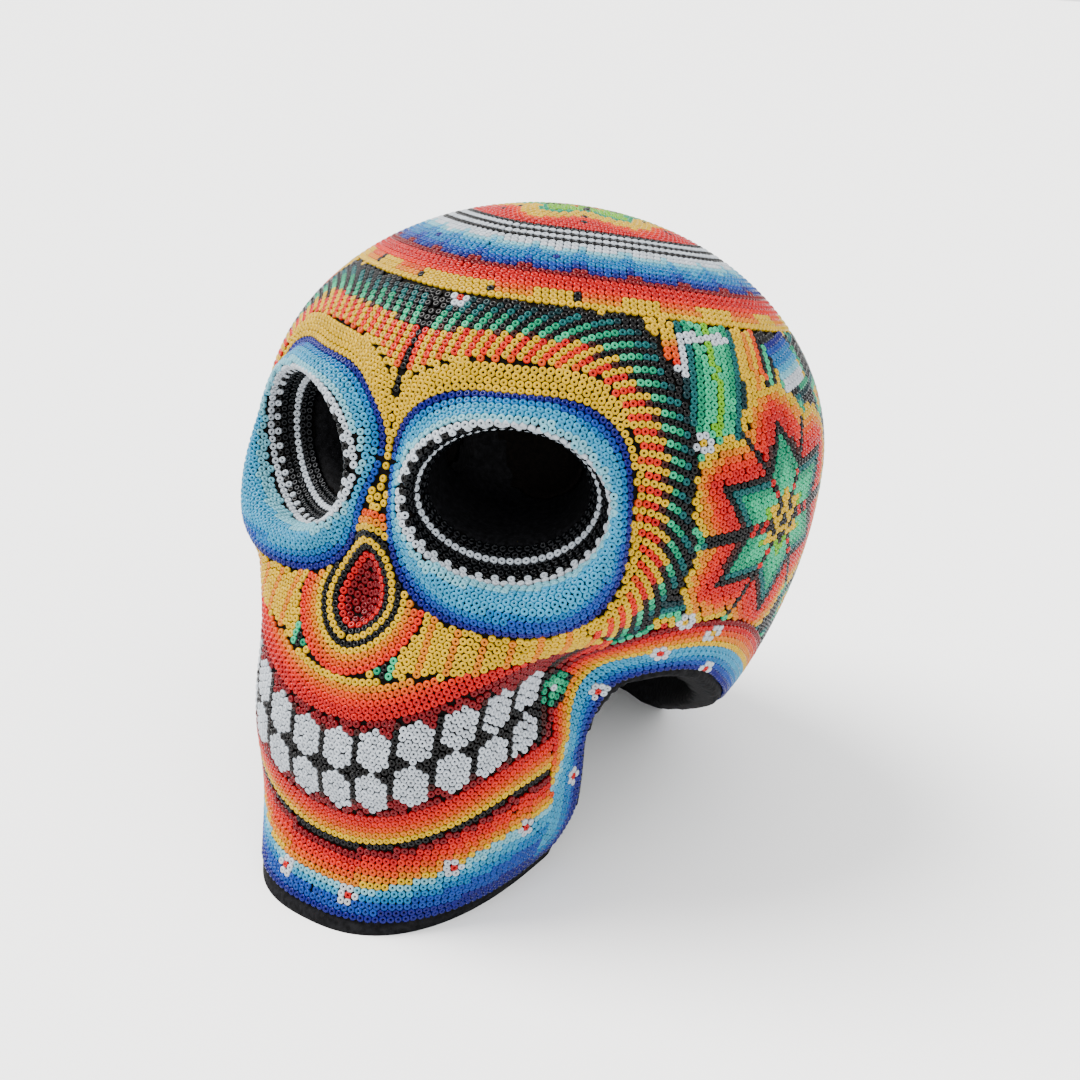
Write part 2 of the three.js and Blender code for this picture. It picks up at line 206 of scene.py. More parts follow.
def arch(y, z):
    """Negative in the open arch between the jaw and the back of the skull, seen from the side."""
    ramus = -27 + 0.04 * z - y
    slope = (y - 66) * 0.63 + z * 0.776
    return smooth_max(smooth_max(ramus, slope, 8), z - 64, 8)


def skin(x, y, z):
    """The surface over the tops of the beads, with the floor and the arch left out."""
    x = np.abs(x)
    return smooth_max(smooth_max(head(x, y, z), -socket(x, y, z), 6), -nose(x, y, z), 3)


def blank_walls(x, y, z):
    """The cast blank without its flat foot: a shell under the beads, flush with them along its edge."""
    x = np.abs(x)
    outside = head(x, y, z)
    pit = socket(x, y, z)
    edge = np.minimum(z - RIM_HEIGHT, arch(y, z) - ARCH_EDGE)
    depth = 0.5 + (BLANK_DEPTH - 0.5) * smooth_step(edge + 0.7)
    solid = smooth_max(outside + depth, -arch(y, z), 2)
    solid = smooth_max(solid, BLANK_DEPTH - pit, 4)
    solid = smooth_max(solid, BLANK_DEPTH - nose(x, y, z), 3)
    hollow = np.maximum(outside + BLANK_DEPTH + WALL, BLANK_DEPTH + WALL - 1 - pit)
    return np.maximum(solid, -hollow)


# ---- meshes from a formula
def surface_nets(field, low, high, step):
    """Vertices and quads of the surface where field is zero, one vertex in each cell it crosses."""
    axes = [np.arange(a, b + step, step) for a, b in zip(low, high)]
    grid = np.meshgrid(*axes, indexing="ij")
    values = field(*grid)
    inside = values < 0
    cells = tuple(n - 1 for n in values.shape)
    total = np.zeros(cells + (3,))
    count = np.zeros(cells)
    crossings = []
    for axis in range(3):
        first = tuple(slice(0, -1) if k == axis else slice(None) for k in range(3))
        second = tuple(slice(1, None) if k == axis else slice(None) for k in range(3))
        a, b = values[first], values[second]
        crossed = inside[first] != inside[second]
        crossings.append(crossed)
        share = np.where(crossed, a / np.where(crossed, a - b, 1), 0)
        place = np.stack([g[first] for g in grid], -1)
        place[..., axis] += share * step
        place[~crossed] = 0
        for shift in product((0, 1), repeat=3):
            if shift[axis] == 0:
                part = tuple(slice(start, start + n) for start, n in zip(shift, cells))
                total += place[part]
                count += crossed[part]
    used = count > 0
    number = np.full(cells, -1)
    number[used] = np.arange(used.sum())
    vertices = total[used] / count[used][:, None]
    return vertices, net_quads(crossings, inside, number)


def net_quads(crossings, inside, number):
    """The four cells round each crossed grid edge, in the order that faces outwards."""
    quads = []
    for axis, crossed in enumerate(crossings):
        one, two = [k for k in range(3) if k != axis]
        at = np.argwhere(crossed)
        ok = (at[:, one] > 0) & (at[:, two] > 0)
        ok &= (at[:, one] < number.shape[one]) & (at[:, two] < number.shape[two])
        at = at[ok]
        ring = []
        for back_one, back_two in ((1, 1), (0, 1), (0, 0), (1, 0)):
            cell = at.copy()
            cell[:, one] -= back_one
            cell[:, two] -= back_two
            ring.append(number[tuple(cell.T)])
        ring = np.stack(ring, -1)
        flip = inside[tuple(at.T)] ^ (axis != 1)
        ring[flip] = ring[flip][:, ::-1]
        quads.append(ring)
    return np.concatenate(quads)


def gradient(field, points):
    reach = 0.2
    steps = np.eye(3) * reach
    rise = [field(*(points + s).T) - field(*(points - s).T) for s in steps]
    return np.stack(rise, -1) / (2 * reach)


def settle(field, points, rounds=3):
    """Points moved onto the surface where field is zero, and the surface's outward directions there."""
    for _ in range(rounds):
        slope = gradient(field, points)
        size = (slope**2).sum(1, keepdims=True) + TINY
        points = points - field(*points.T)[:, None] * slope / size
    slope = gradient(field, points)
    return points, slope / np.linalg.norm(slope, axis=1, keepdims=True)


class Skin:
    """The half of the bead surface with x above zero, as triangles, and distances measured on it."""

    def __init__(self, step=1.7):
        vertices, quads = surface_nets(skin, (-2.2 * step, -100, -step), (88, 100, 180), step)
        self.points, self.normals = settle(skin, vertices)
        self.faces = np.concatenate([quads[:, [0, 1, 2]], quads[:, [0, 2, 3]]])
        self.prepare()

    def prepare(self):
        """For each corner of each triangle: the opposite side's length and where the corner's foot is."""
        turns = [self.faces[:, [i, (i + 1) % 3, (i + 2) % 3]] for i in range(3)]
        self.corner, self.start, self.end = np.concatenate(turns).T
        side = self.points[self.end] - self.points[self.start]
        self.side = np.linalg.norm(side, axis=1) + TINY
        to_corner = self.points[self.corner] - self.points[self.start]
        self.foot = (to_corner * side).sum(1) / self.side**2
        rest = to_corner - self.foot[:, None] * side
        self.rise = np.linalg.norm(rest, axis=1)
        self.order = np.argsort(self.corner, kind="stable")
        self.targets, self.groups = np.unique(self.corner[self.order], return_index=True)

    def near_line(self, values):
        """First distances: those of the corners of the triangles that the zero line of values crosses."""
        a, b, c = (self.points[self.faces[:, i]] for i in range(3))
        corners = values[self.faces]
        va, vb, vc = corners.T
        u, v = b - a, c - a
        normal = np.cross(u, v)
        area = (normal**2).sum(1) + 1e-12
        along_u = (vb - va)[:, None] * np.cross(v, normal)
        along_v = (vc - va)[:, None] * np.cross(normal, u)
        slope = (along_u + along_v) / area[:, None]
        steep = np.linalg.norm(slope, axis=1) + TINY
        crossed = (corners.min(1) < 0) & (corners.max(1) >= 0)
        first = np.full(len(self.points), UNREACHED)
        for i in range(3):
            corner = self.faces[crossed, i]
            np.minimum.at(first, corner, np.abs(values[corner]) / steep[crossed])
        return first

    def distance(self, values, blocked=None):
        """Distance over the surface from the zero line of values, with the sign of values."""
        far = self.near_line(values)
        if blocked is not None:
            far[blocked] = UNREACHED
        for _ in range(MOST_ROUNDS):
            start, end = far[self.start], far[self.end]
            lean = np.clip((end - start) / self.side, -0.999, 0.999)
            t = np.clip(self.foot - lean * self.rise / (self.side * np.sqrt(1 - lean**2)), 0, 1)
            reach = np.sqrt(self.rise**2 + ((t - self.foot) * self.side) ** 2)
            offer = start + t * (end - start) + reach
            best = np.minimum.reduceat(offer[self.order], self.groups)
            after = far.copy()
            after[self.targets] = np.minimum(after[self.targets], best)
            if blocked is not None:
                after[blocked] = UNREACHED
            settled = np.abs(after - far).max() < 1e-3
            far = after
            if settled:
                break
        return far * np.sign(values)

    def measure(self):
        """Every distance that the rows and outlines of the pattern are drawn from."""
        x, y, z = self.points.T
        side, up, _ = eye_frame(x, y, z)
        ring = self.distance(ring_outline(side, up, y))
        middle = self.distance(x)
        lip = (np.hypot((side + 1) / LIP_WIDTH, (up - 1.2) / LIP_HEIGHT) - 1) * LIP_HEIGHT
        wave_start = np.where((z > 76) & (z < 93) & (y < -50), x - 21, 5)
        blocked = (ring < -0.4) | ((z < 70) & (y < 0)) | ((x < 19) & (z < 133))
        return {
            "middle": middle,
            "column": middle + ROW / 2,
            "ring": ring,
            "lip": self.distance(np.where((ring < 0) | (head(x, y, z) < -PIT_DEPTH), lip, 5)),
            "nose": self.distance(nose(x, y, z) - 0.8),
            "gum": self.distance(z - tooth_line(x) - TOOTH_TOP),
            "chin": self.distance(tooth_line(x) - TOOTH_TOP - z),
            "upright": self.distance(z - tooth_line(0)),
            "edge": self.distance(np.minimum(z - RIM_HEIGHT, arch(y, z) - ARCH_EDGE)),
            "wave": self.distance(wave_start, blocked),
            "rise": self.distance(z - TEMPLE[2]),
            "reach": self.distance(y - TEMPLE[1]),
            "crown": self.distance(np.where(z > 140, np.hypot(x, y - CROWN_Y) - 3, 5)) + 3,
        }


def ring_outline(side, up, y):
    """Negative inside the rounded outline of the blue rings round an eye."""
    across = np.abs((side + 0.8) / RING_HALF_WIDTH) ** 3
    upright = np.abs((up + 1.4) / RING_HALF_HEIGHT) ** 3
    return np.where(y < FACE_Y, ((across + upright) ** (1 / 3) - 1) * 30, 30)


# ---- rows of beads
class Line:
    """A line of equal distance, as points with the values of every field along it."""

    def __init__(self, level, points, values):
        self.level = level
        self.values = values
        smooth = points.copy()
        for _ in range(2):
            smooth[1:-1] = (smooth[:-2] + 2 * smooth[1:-1] + smooth[2:]) / 4
        self.points = smooth
        steps = np.linalg.norm(np.diff(smooth, axis=0), axis=1)
        self.length = np.concatenate([[0], np.cumsum(steps)])

    def at(self, places):
        """Points and field values at lengths along the line."""
        i = np.clip(np.searchsorted(self.length, places, side="right") - 1, 0, len(self.length) - 2)
        t = ((places - self.length[i]) / (self.length[i + 1] - self.length[i] + 1e-12))[:, None]
        points = self.points[i] * (1 - t) + self.points[i + 1] * t
        return points, self.values[i] * (1 - t) + self.values[i + 1] * t


def level_lines(mesh, values, table, keep):
    """The lines where values is a half row more than a whole number of rows, in the kept triangles."""
    faces = mesh.faces[keep]
    rows = values / ROW - 0.5
    v = rows[faces]
    low = np.floor(v.min(1)).astype(int) + 1
    count = np.floor(v.max(1)).astype(int) - low + 1
    face = np.repeat(np.arange(len(faces)), count)
    first = np.repeat(np.cumsum(count) - count, count)
    level = low[face] + np.arange(len(face)) - first
    above = v[face] >= level[:, None]
    keys = []
    total = len(mesh.points)
    for i in range(3):
        j = (i + 1) % 3
        one = np.minimum(faces[face, i], faces[face, j]).astype(np.int64)
        two = np.maximum(faces[face, i], faces[face, j]).astype(np.int64)
        key = ((level + 1000) * total + one) * total + two
        keys.append(np.where(above[:, i] != above[:, j], key, -1))
    keys = np.sort(np.stack(keys, -1), axis=1)[:, 1:]
    keys = keys[keys[:, 0] >= 0]
    nodes, links = np.unique(keys, return_inverse=True)
    links = links.reshape(-1, 2)
    two = nodes % total
    one = nodes // total % total
    level = nodes // total // total - 1000
    t = ((level - rows[one]) / (rows[two] - rows[one]))[:, None]
    points = mesh.points[one] * (1 - t) + mesh.points[two] * t
    carried = table[one] * (1 - t) + table[two] * t
    return [Line(level[chain[0]], points[chain], carried[chain]) for chain in chains(len(nodes), links)]


def chains(total, links):
    """Lists of the nodes that are linked one after another. A closed chain ends where it starts."""
    neighbours = [[] for _ in range(total)]
    for a, b in links.tolist():
        neighbours[a].append(b)
        neighbours[b].append(a)
    seen = np.zeros(total, bool)
    ends = [n for n in range(total) if len(neighbours[n]) == 1]
    found = []
    for start in ends + list(range(total)):
        if seen[start]:
            continue
        chain = []
        ahead = [start]
        while ahead:
            chain.append(ahead[0])
            seen[ahead[0]] = True
            ahead = [n for n in neighbours[chain[-1]] if not seen[n]]
        if len(chain) > 2 and chain[0] in neighbours[chain[-1]]:
            chain.append(chain[0])
        if len(chain) > 2:
            found.append(chain)
    return found


def strung(line):
    """Lengths along a line with a bead every pitch, counted from the mirror plane where it crosses it."""
    stagger = (line.level % 2) * PITCH / 2
    x = line.points[:, 0]
    if x[0] > x[-1]:
        line.points, line.values = line.points[::-1], line.values[::-1]
        line.length = line.length[-1] - line.length[::-1]
        x = x[::-1]
    start = PITCH / 4
    if x[0] < 0 < x.max():
        ahead = int(np.argmax(x >= 0))
        start = np.interp(0, x[ahead - 1 : ahead + 1], line.length[ahead - 1 : ahead + 1])
    return np.arange(start + stagger, line.length[-1], PITCH)


def latticed(line, beat):
    """Lengths along a line where another field is a whole number of pitches, staggered row by row."""
    values = line.values[:, beat]
    length = line.length
    if values[0] > values[-1]:
        values, length = values[::-1], length[::-1]
    values = np.maximum.accumulate(values)
    stagger = 0.5 * (line.level % 2)
    first = math.ceil(values[0] / PITCH - stagger)
    last = math.floor(values[-1] / PITCH - stagger)
    return np.interp((np.arange(first, last + 1) + stagger) * PITCH, values, length)


# ---- the pattern's regions
NAMES = "middle column ring lip nose gum chin upright edge wave rise reach crown".split()
CROWN_OUT = 71.0
BASE_ROWS = 10
CHIN_ROWS = 5.6  # warm rows between the lower lip and the blue edge
TEMPLE_BACK = 50.0
LIP_LINE = 13.0  # from the lower teeth down to the lip's edge
TEETH = 6  # on each side of each jaw
TOOTH_COLUMNS = 6  # five white columns of beads and a black one
TEETH_END = TEETH * TOOTH_COLUMNS * ROW
TOOTH_TOP = 12.4  # from the line between the jaws up or down to the gums
TOOTH_MIDDLES = (5.5, 16.5, 26, 32.5, 37, 40, 41)  # along x, the last for the rows past the teeth
JAW_FRONT_Y = -44.0
JAW_BACK_Y = -30.0
NOSE_Z = 91.0
NOSE_BORDER = 20.5


def flame_edge(z):
    """How far back the stripes of the brow reach at a height."""
    return np.interp(z, [80, 98, 103, 120, 135, 148, 165], [-35, -28, -26, -28, -23, -21, -15])


def ledge(x):
    """The height of the fold between the cheek and the upper lip."""
    return 69 + 0.21 * x


def tooth_line(x):
    """The height where the upper and lower teeth meet."""
    return 45.8 + 0.0092 * x**2


def region_of(points, f):
    """The number of each point's region, or -1 where there are no beads."""
    x, y, z = points.T
    region = np.full(len(points), REGION_NAMES.index("back"))

    def put(name, where):
        region[where] = REGION_NAMES.index(name)

    put("temple", (y < TEMPLE_BACK) & (z > 40))
    put("flames", (y < flame_edge(z)) & (z > ledge(x)))
    collar = 7.5 * smooth_step((z - 118) / 22) * smooth_step((64 - x) / 18)
    put("collar", (y < flame_edge(z)) & (f["ring"] >= 0) & (f["ring"] < collar))
    put("cheek", (y < -26) & (z > ledge(x)) & (z < 90) & (x < 57) & (f["ring"] >= 0))
    front = (y < FACE_Y) & (z <= ledge(x))
    put("upper lip", front & (f["gum"] >= 0))
    put("lower lip", front & (f["chin"] >= 0))
    put("teeth", front & (f["gum"] < 0) & (f["chin"] < 0))
    put("teeth", front & (f["middle"] > TEETH_END) & (f["chin"] < 0))
    below_lip = (y > JAW_FRONT_Y) | (f["chin"] > LIP_LINE)
    put("base", (f["edge"] < BASE_ROWS * ROW) & below_lip & (z < 84))
    put("base", front & (f["chin"] > LIP_LINE) & (y <= JAW_FRONT_Y))
    put("crown", f["crown"] < CROWN_OUT)
    put("nose", (np.hypot(x, z - NOSE_Z) < NOSE_BORDER) & (y < -50))
    in_ring = (f["ring"] < 0) | ((head(x, y, z) < -PIT_DEPTH) & (region != REGION_NAMES.index("nose")))
    put("ring", in_ring)
    put("socket", in_ring & (f["lip"] < SOCKET_ROWS * ROW))
    region[(f["edge"] < 0.1) | (in_ring & (f["lip"] < -2 * ROW))] = -1
    return region


# ---- laying the beads
class Beads:
    """The beads laid so far on the half with x above zero."""

    def __init__(self):
        self.cells = {}
        self.points = []
        self.values = []
        self.marks = []  # region, row and place along the row

    def fits(self, point):
        reach = SPACING * PITCH
        home = [int(c // PITCH) for c in point]
        for step in product((-1, 0, 1), repeat=3):
            for other in self.cells.get(tuple(h + s for h, s in zip(home, step)), ()):
                if sum((p - o) ** 2 for p, o in zip(point, other)) < reach * reach:
                    return False
        return True

    def lay(self, point, values, mark):
        """Adds a bead if it fits. Beads near the mirror plane snap to it or off it."""
        x = point[0]
        if x < -0.3 * PITCH:
            return
        x = 0.0 if abs(x) < 0.25 * PITCH else max(x, 0.45 * PITCH)
        point = (x, point[1], point[2])
        if not self.fits(point):
            return
        self.cells.setdefault(tuple(int(c // PITCH) for c in point), []).append(point)
        self.points.append(point)
        self.values.append(values)
        self.marks.append(mark)


def by_name(table):
    return {name: table[:, i] for i, name in enumerate(NAMES)}


def lay_region(beads, mesh, table, corner_regions, region):
    """The rows of beads of one region."""
    rows, beat, _ = REGIONS[REGION_NAMES[region]]
    values = table[:, NAMES.index(rows)]
    keep = (corner_regions[mesh.faces] == region).any(1)
    keep &= (np.abs(values[mesh.faces]) < UNREACHED / 2).all(1)
    for line in level_lines(mesh, values, table, keep):
        places = strung(line) if beat is None else latticed(line, NAMES.index(beat))
        if not len(places):
            continue
        points, carried = line.at(places)
        here = region_of(points, by_name(carried)) == region
        for i in np.flatnonzero(here):
            beads.lay(points[i].tolist(), carried[i], (region, line.level, i))


def fill_gaps(beads, mesh, table):
    """Single beads where the rows of two regions leave room for one."""
    corners = mesh.faces
    points = np.concatenate([mesh.points, mesh.points[corners].mean(1)])
    values = np.concatenate([table, table[corners].mean(1)])
    region = region_of(points, by_name(values))
    for i in np.flatnonzero(region >= 0):
        rows = REGIONS[REGION_NAMES[region[i]]][0]
        row = math.floor(values[i][NAMES.index(rows)] / ROW)
        beads.lay(points[i].tolist(), values[i], (region[i], row, i))


# ---- the colours of the pattern
def ramp(steps, names):
    """Colour names from a list, one for each whole step, held past both ends."""
    names = np.array(names.split())
    return names[np.clip(np.floor(steps).astype(int), 0, len(names) - 1)]


def rows_of(names, first=0):
    """A painter that takes the next colour for each row, from the row numbered first."""
    return lambda p, f, row, place: ramp(row - first, names)


def paint_socket(p, f, row, place):
    colours = ramp(row + 2, "smoke smoke white smoke smoke white")
    return np.where((row == 3) & (place % 2 == 0), "black", colours)


def paint_ring(p, f, row, place):
    out = -f["ring"] / ROW
    rest = f["lip"] / ROW - SOCKET_ROWS
    return ramp(8 * out / (out + rest), "navy royal blue sky sky sky pale")


def paint_crown(p, f, row, place):
    x, y, _ = p.T
    turn = np.arctan2(x, CROWN_Y - y)
    c = f["crown"]
    petal = np.cos(6 * turn)
    scallop = np.abs(np.cos(12 * turn))
    colours = ramp((c - 57) / ROW, "crimson red red scarlet orange amber yellow")
    step = np.floor(turn * 18 / math.pi) % 2
    colours = np.where((c > 64) & (step == 0), "yellow", colours)
    mark = np.abs((turn * 9 / math.pi) % 1 - 0.5) * c < 5.6 / 9
    colours = np.where((c > 63.5) & (c < 68.5) & mark, "black", colours)
    inner = c + 2 * scallop
    blues = ramp((inner - 46) / ROW, "white pale sky blue blue royal navy")
    colours = np.where(inner < 58.5, blues, colours)
    tick = np.abs((turn * 12 / math.pi) % 1 - 0.5) * c < 0.26
    colours = np.where(tick & (inner > 49) & (inner < 54), "navy", colours)
    rings = ramp((c - 35) / ROW, "black white black white black white")
    colours = np.where(c < 46 - 2 * scallop, rings, colours)
    warm = ramp((c - 2.5 * petal - 22) / ROW, "yellow yellow orange scarlet red")
    colours = np.where(c < 35, warm, colours)
    lime = ramp((c - 3.5 * petal) / ROW, "black red yellow lime lime lime lime lime lime green")
    colours = np.where(c - 3.5 * petal < 19, lime, colours)
    vein = np.abs((turn * 3 / math.pi) % 1 - 0.5) * c < 1 / 3
    return np.where(vein & (c > 6) & (c < 29), "black", colours)


def paint_base(p, f, row, place):
    corner = smooth_step((46 - p[:, 2]) / 16) * (p[:, 1] < FACE_Y)
    cold_rows = 5 + 4 * corner
    cold = ramp(6 * row / cold_rows, "navy royal blue sky sky pale")
    sides = np.where(row < cold_rows, cold, ramp(row - cold_rows, "yellow amber orange red crimson"))
    below = np.maximum(f["chin"] - LIP_LINE, 0) / ROW
    warm = ramp(below, "crimson red scarlet orange amber yellow")
    rest = np.maximum(below - CHIN_ROWS, 0.5) + f["edge"] / ROW
    cold = ramp(7 * f["edge"] / ROW / rest, "navy navy royal royal blue sky pale")
    chin = np.where(below < CHIN_ROWS, warm, cold)
    return np.where(p[:, 1] < JAW_FRONT_Y, chin, sides)


def paint_cheek(p, f, row, place):
    by_nose = ramp(row, "yellow yellow yellow yellow yellow yellow yellow green black mint amber")
    return np.where(row > 9, ramp(row % 4, "yellow amber yellow"), by_nose)


def paint_teeth(p, f, row, place):
    """Six-sided teeth of five white columns, with a black column between them."""
    column = np.clip(row, 0, None) % TOOTH_COLUMNS
    number = np.clip(row // TOOTH_COLUMNS, 0, TEETH)
    across = np.array(TOOTH_MIDDLES)[number]
    middle = np.round((tooth_line(across) - tooth_line(0)) / PITCH)
    height = np.abs(f["upright"] / PITCH - middle)
    high = np.array([0, 4, 5, 6, 5, 4])[column]
    tooth = np.abs(height - 3) < high / 2
    outside = np.where(height > 5.3, "crimson", np.where(height > 4.3, "brown", "black"))
    colours = np.where(tooth, "white", outside)
    beyond = row - TOOTH_COLUMNS * TEETH
    return np.where(beyond >= 0, ramp(beyond, "black brown crimson red red orange green mint"), colours)


def paint_flames(p, f, row, place):
    """Stripes one bead wide: yellow to teal, and between them yellow to red to black."""
    x, y, z = p.T
    inner = np.maximum(f["ring"], 0.1)
    outer = smooth_min(f["crown"] - CROWN_OUT, 1.1 * (flame_edge(z) - y), 6)
    t = inner / (inner + np.maximum(outer, 0.1))
    cool = ramp(20 * t, 12 * "yellow " + "mint mint green green teal teal deep black")
    blaze = "orange scarlet scarlet scarlet scarlet red "
    at_top = ramp(20 * t, 6 * "yellow " + blaze + "brown black")
    at_side = ramp(20 * t, 3 * "yellow " + blaze + "red brown black")
    warm = np.where(x > 42, at_side, at_top)
    colours = np.where(row % 2 == 0, cool, warm)
    seam = (f["middle"] < 1.1) & (z > 133)
    return np.where(seam, "black", colours)


def star_reach(turn, tip, notch, points):
    """How far a star with straight sides reaches at an angle from one of its tips."""
    half = math.pi / points
    away = np.abs((turn + half) % (2 * half) - half)
    tall = notch * math.sin(half)
    along_tip = notch * math.cos(half)
    return tip * tall / (tall * np.cos(away) + (tip - along_tip) * np.sin(away))


def paint_star(across, up, tips, ground):
    """A star with petals round it, by places in millimetres from its middle."""
    reach = np.hypot(across, up)
    turn = np.arctan2(across, up)
    star = star_reach(turn, STAR_TIP, STAR_NOTCH, tips)
    t = reach / star
    colours = ramp(12 * t, "black yellow yellow yellow lime mint mint mint green green teal black")
    half = math.pi / tips
    seam = np.abs(turn % (2 * half) - half) * reach < 1.0
    dashes = np.where(np.floor(reach / PITCH) % 2 == 0, "red", "black")
    colours = np.where(seam & (reach > 6), dashes, colours)
    lattice = (np.abs(np.abs(across) + np.abs(up) - 6.2) < 0.95) | (reach < 1.2)
    colours = np.where(lattice, "black", colours)
    petals = 27 + 10 * np.sqrt(np.abs(np.cos(turn * tips / 2)))
    ripple = 11 * (reach - star) / (petals - star)
    petal = ramp(ripple, "brown red red red scarlet scarlet orange amber amber yellow")
    petal = np.where(seam & (reach > star), "black", petal)
    colours = np.where(t > 1, petal, colours)
    return np.where(reach > petals, ground, colours)


def near_path(y, z, path):
    """How far each place is, seen from the side, from a line through the corners of a path."""
    best = np.full(len(y), 1e4)
    for (y1, z1), (y2, z2) in zip(path, path[1:]):
        run, climb = y2 - y1, z2 - z1
        t = np.clip(((y - y1) * run + (z - z1) * climb) / (run**2 + climb**2), 0, 1)
        best = np.minimum(best, np.hypot(y - y1 - t * run, z - z1 - t * climb))
    return best


def paint_temple(p, f, row, place):
    """The star, with a stepped block, a yellow column, a blue window and a white hook above it."""
    _, y, z = p.T
    steps = np.abs((f["reach"] + f["rise"]) % 24 - 12) + np.abs((f["reach"] - f["rise"]) % 24 - 12)
    ground = ramp(steps / 2, "red yellow yellow mint green teal deep black")
    lean = y - 0.65 * (z - 131)
    block = np.minimum(lean + 30, -10 - lean)
    ahead = (y < 14) & (z > 122)
    ground = np.where(ahead, "black", ground)
    stepped = ramp(block / ROW, "deep teal green mint mint lime mint")
    ground = np.where(ahead & (block > -0.5), stepped, ground)
    beam = (lean > -11) & (lean < -1)
    ground = np.where(ahead & beam, ramp((lean + 11) / 2, "yellow yellow amber yellow orange"), ground)
    slats = (lean >= -1) & (y < 15) & (z > 130)
    ground = np.where(slats, ramp((lean + 1) / 1.6 % 4, "black mint black yellow"), ground)
    window = (y > 14) & (y < 31) & (z > 139)
    ground = np.where(window, ramp((153 - z) / 1.9, "black navy royal blue sky pale white"), ground)
    wedge = (near_path(y, z, ((-14, 160), (-19, 153))) < 4) & (z > 149)
    ground = np.where(wedge, ramp((z - 148) / 2, "red scarlet orange amber yellow"), ground)
    hook = near_path(y, z, ((-19, 148), (-12, 156), (1, 154))) < 1.0
    ground = np.where(hook, "white", ground)
    return paint_star(f["reach"], f["rise"], 6, ground)


def paint_back(p, f, row, place):
    across = f["middle"]
    up = f["rise"] - BACK_STAR_RISE
    reach = np.hypot(across, up)
    cell = np.abs((across / PITCH + 9) % 18 - 9) + np.abs((up / ROW + 9) % 18 - 9)
    inner = "red yellow yellow mint mint green teal teal deep deep "
    field = ramp(cell, inner + "navy navy navy navy royal royal navy")
    rings = "black white black white pale sky blue royal navy red black"
    border = ramp((reach - BACK_BORDER) / ROW, rings)
    ground = np.where(reach < BACK_BORDER + len(rings.split()) * ROW, border, field)
    return paint_star(across, up, 6, ground)


NOSE_ROWS = "crimson crimson red black yellow black yellow amber orange scarlet red crimson teal"
# For each region: the field whose levels make its rows, the field that spaces the beads along
# them, if any, and the painter. Where regions meet, the later one is laid first.
REGIONS = {
    "back": ("rise", "middle", paint_back),
    "temple": ("rise", "reach", paint_temple),
    "flames": ("wave", None, paint_flames),
    "collar": ("ring", None, rows_of("yellow")),
    "cheek": ("column", None, paint_cheek),
    "upper lip": ("gum", None, rows_of("crimson red red scarlet orange amber yellow")),
    "lower lip": ("chin", None, rows_of("crimson red scarlet orange amber yellow black")),
    "teeth": ("column", "upright", paint_teeth),
    "base": ("edge", None, paint_base),
    "crown": ("crown", None, paint_crown),
    "nose": ("nose", None, rows_of(NOSE_ROWS, first=-3)),
    "ring": ("ring", None, paint_ring),
    "socket": ("lip", None, paint_socket),
}
REGION_NAMES = list(REGIONS)
# The middles of the small flowers of white beads, by the colour of the bead in the middle.
FLOWERS = {
    "red": (
        (12, -90, 9), (34, -74, 19), (44, -54, 25), (46, -34, 32),
        (49, -30, 58), (65, -25, 74), (68, -9, 61),
    ),
    "yellow": ((70, -22, 133), (70, -23, 84), (74, -12, 77)),
}
FOREHEAD_FLOWER = (4.6, -38, 161.5)
MOUTH_CORNER = (44.8, -42.4, 62.6)
PATCH = ((2.6, "black"), (2.2, "green"), (1.3, "mint"), (0.4, "white"))


def flower(eye):
    return ((1.3, "white"), (0.4, eye))


def plant(points, colours, middle, rings):
    """Recolours the beads round the one nearest to middle. A ring is a reach in pitches and a colour."""
    nearest = points[np.argmin(((points - middle) ** 2).sum(1))]
    away = np.linalg.norm(points - nearest, axis=1) / PITCH
    free = colours != "white"
    for reach, colour in rings:
        colours[free & (away < reach)] = colour


def plant_all(points, colours):
    """The small flowers, and the green patches behind the last teeth."""
    plants = [(place, flower(eye)) for eye, places in FLOWERS.items() for place in places]
    for (x, y, z), rings in plants + [(MOUTH_CORNER, PATCH)]:
        for side in (1, -1):
            plant(points, colours, (side * x, y, z), rings)
    plant(points, colours, FOREHEAD_FLOWER, flower("red"))


# ---- which CAD node each bead belongs to
CROWN_NODES = (
    (20, "crown_flower"), (34, "crown_flower_border"), (45, "crown_white_rings"),
    (56, "crown_blue_band"), (math.inf, "crown_red_band"),
)
TEMPLE_NODES = ((24, "SIDE_temple_star"), (38, "SIDE_temple_petals"), (math.inf, "SIDE_temple_steps"))
BACK_NODES = ((24, "back_flower"), (40, "back_flower_petals"), (math.inf, "SIDE_back_field"))


def node_of(point, f, region, row, colour):
    """The name of the CAD node a bead belongs to, with left or right still open as SIDE."""
    x, y, _ = point
    name = REGION_NAMES[region]
    if name == "socket":
        return "SIDE_socket_lip" if row < 3 else "SIDE_eye_ring"
    if name == "ring":
        return "SIDE_eye_ring"
    if name == "nose":
        return "nose_hollow" if row < 0 else "nose_border"
    if name == "crown":
        return within(f["crown"], CROWN_NODES)
    if name == "teeth":
        return tooth_node(f["upright"] - tooth_line(x) + tooth_line(0), row, colour)
    if name in ("upper lip", "lower lip"):
        return name.replace(" ", "_")
    if name == "base":
        return base_node(y, f)
    if name in ("flames", "collar", "cheek"):
        return "SIDE_brow_stripes"
    if name == "temple":
        return within(math.hypot(f["rise"], f["reach"]), TEMPLE_NODES)
    return within(math.hypot(f["middle"], f["rise"] - BACK_STAR_RISE), BACK_NODES)


def within(distance, rings):
    """The name of the first of the rings, each a reach and a name, that the distance is inside."""
    return next(name for reach, name in rings if distance < reach)


